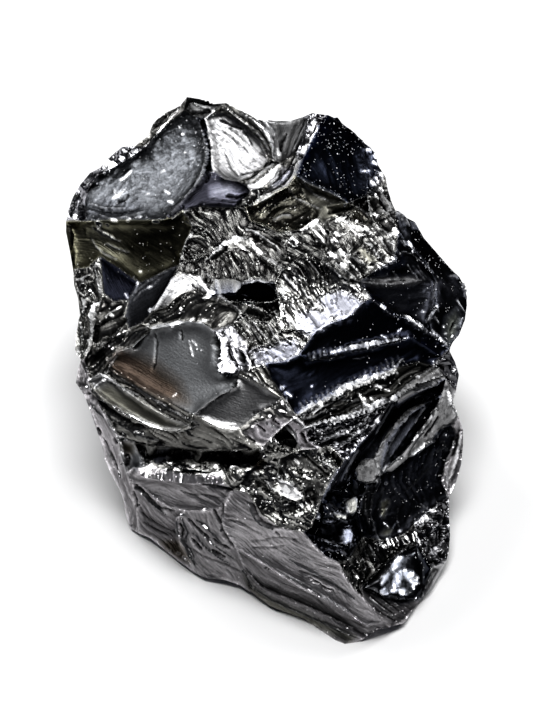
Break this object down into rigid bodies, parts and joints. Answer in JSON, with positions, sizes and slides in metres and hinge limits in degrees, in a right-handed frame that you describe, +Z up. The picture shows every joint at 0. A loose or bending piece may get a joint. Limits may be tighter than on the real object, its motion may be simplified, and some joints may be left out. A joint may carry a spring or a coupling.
{
  "type": "raw shungite stone",
  "caption": "Rough broken chunk of glassy black shungite with curved, silvery fracture faces, lying on a flat broken face.",
  "frame": {"origin": "middle of the bounding box in plan, at the height of the flat face it lies on", "axes": "+Z up from the resting face, +Y from the low, narrow toe towards the tall crown, +X to the right when the stone is seen from its toe"},
  "size_m": [0.0488, 0.0594, 0.0342],
  "materials": {
    "shungite": null
  },
  "bodies": {
    "root": {"stone": "shungite"}
  },
  "joints": []
}
